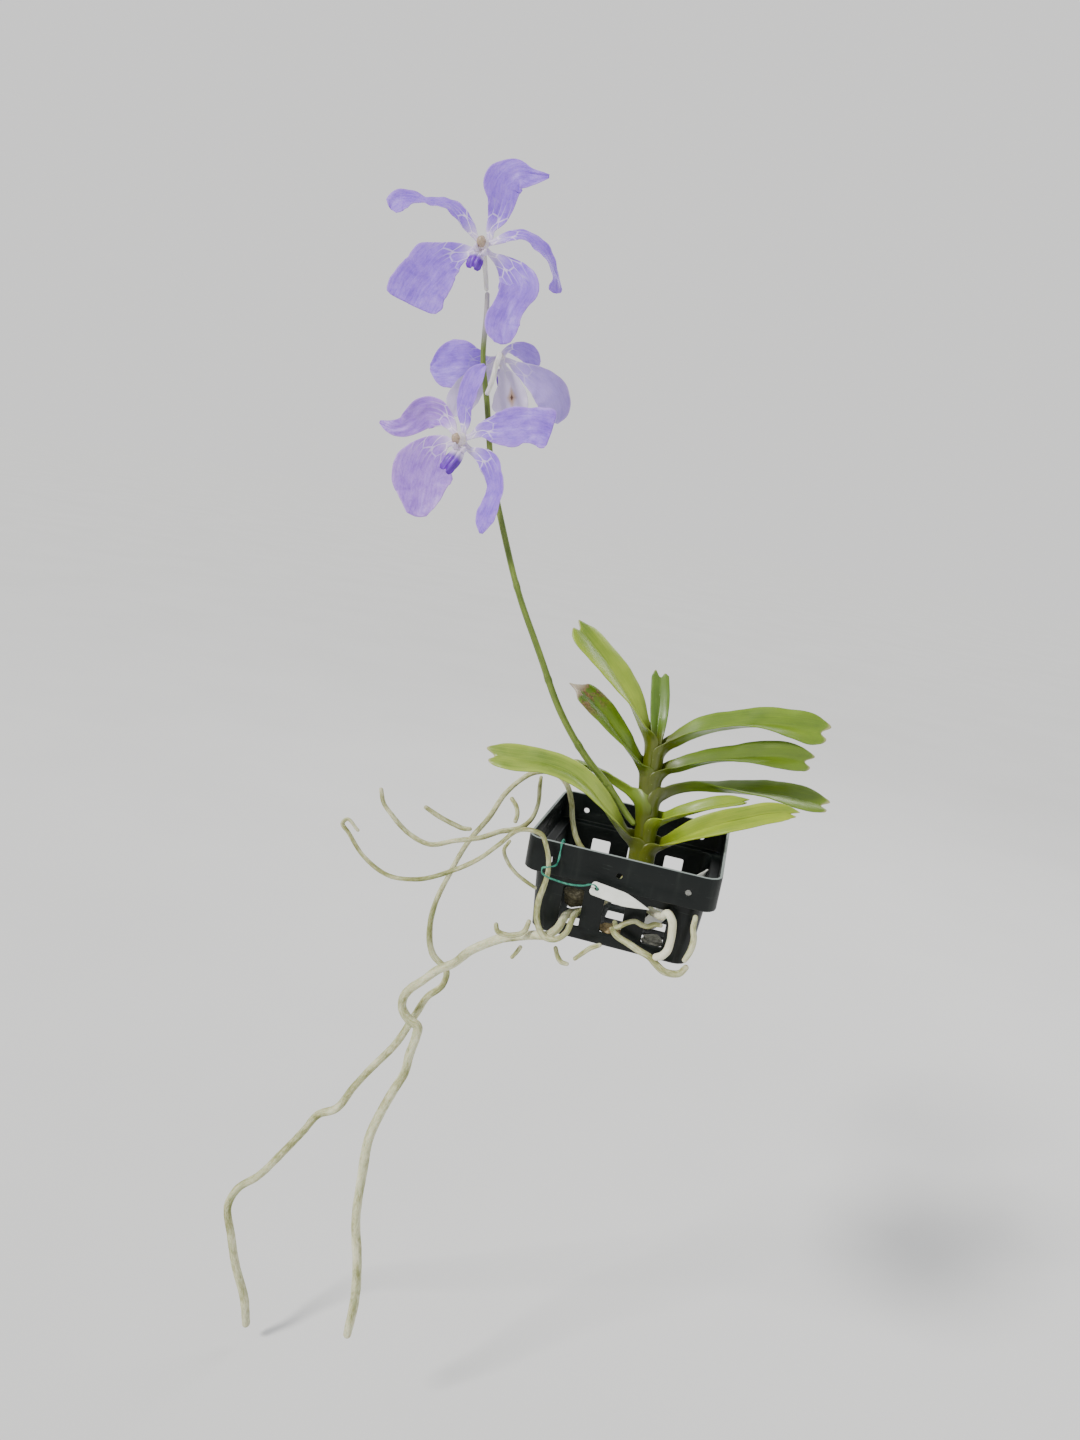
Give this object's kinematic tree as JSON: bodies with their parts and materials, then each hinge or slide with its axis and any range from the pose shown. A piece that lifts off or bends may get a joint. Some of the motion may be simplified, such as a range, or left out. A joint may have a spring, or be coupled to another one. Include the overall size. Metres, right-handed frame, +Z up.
{
  "type": "hanging basket orchid plant",
  "caption": "Bare-root orchid in a square slotted hanging basket: strap leaves in a fan, an arching stalk of blue-violet flowers and long aerial roots that hang below.",
  "frame": {"origin": "middle of the basket, level with its row of hanger holes", "axes": "+Z up along the basket's sides, +X to the basket's right side, +Y to its back"},
  "size_m": [0.32, 0.1234, 0.7473],
  "materials": {
    "basket_plastic": "moulded dark green-black plastic, satin, scuffed grey along its edges",
    "stem_tissue": "olive green living stem wrapped in old leaf bases",
    "leaf_blade": "thick strap leaf, waxy satin, fine lengthwise veins",
    "stalk_tissue": "smooth green flower stalk with small bracts",
    "petal_tissue": "thin blue-violet petal, translucent, with a net of fine veins",
    "lip_tissue": "deep violet fleshy lip",
    "column_tissue": "cream flower column with a tan cap",
    "pedicel_tissue": "pale flower stalklet",
    "root_skin": "silvery white corky root skin, matt",
    "bark_chip": "rough bark chips",
    "label_plastic": "blank white plastic plant label",
    "wire_coating": "green plastic-coated tie wire"
  },
  "bodies": {
    "root": {"basket": "basket_plastic", "stem": "stem_tissue", "leaf_right_1": "leaf_blade", "leaf_right_2": "leaf_blade", "leaf_right_3": "leaf_blade", "leaf_right_4": "leaf_blade", "leaf_right_5": "leaf_blade", "leaf_left_1": "leaf_blade", "leaf_left_2": "leaf_blade", "leaf_left_3": "leaf_blade", "leaf_left_4": "leaf_blade", "leaf_youngest": "leaf_blade", "flower_stalk": "stalk_tissue", "flower_top_dorsal_sepal": "petal_tissue", "flower_top_petal_left": "petal_tissue", "flower_top_petal_right": "petal_tissue", "flower_top_sepal_left": "petal_tissue", "flower_top_sepal_right": "petal_tissue", "flower_top_lip": "lip_tissue", "flower_top_column": "column_tissue", "flower_top_pedicel": "pedicel_tissue", "flower_middle_dorsal_sepal": "petal_tissue", "flower_middle_petal_left": "petal_tissue", "flower_middle_petal_right": "petal_tissue", "flower_middle_sepal_left": "petal_tissue", "flower_middle_sepal_right": "petal_tissue", "flower_middle_lip": "lip_tissue", "flower_middle_column": "column_tissue", "flower_middle_pedicel": "pedicel_tissue", "flower_bottom_dorsal_sepal": "petal_tissue", "flower_bottom_petal_left": "petal_tissue", "flower_bottom_petal_right": "petal_tissue", "flower_bottom_sepal_left": "petal_tissue", "flower_bottom_sepal_right": "petal_tissue", "flower_bottom_lip": "lip_tissue", "flower_bottom_column": "column_tissue", "flower_bottom_pedicel": "pedicel_tissue", "root_arch_long": "root_skin", "root_thick": "root_skin", "root_branch_high": "root_skin", "root_hook": "root_skin", "root_branch_low": "root_skin", "root_stub_rim": "root_skin", "root_twig_left": "root_skin", "root_curl_front": "root_skin", "root_tip_left": "root_skin", "root_tip_under": "root_skin", "root_twig_middle": "root_skin", "root_twig_right": "root_skin", "root_under_right": "root_skin", "root_white": "root_skin", "root_corner": "root_skin", "bark_left": "bark_chip", "bark_front": "bark_chip", "bark_right": "bark_chip", "bark_back": "bark_chip", "label_tag": "label_plastic", "label_stake": "label_plastic", "label_wire": "wire_coating"}
  },
  "joints": []
}
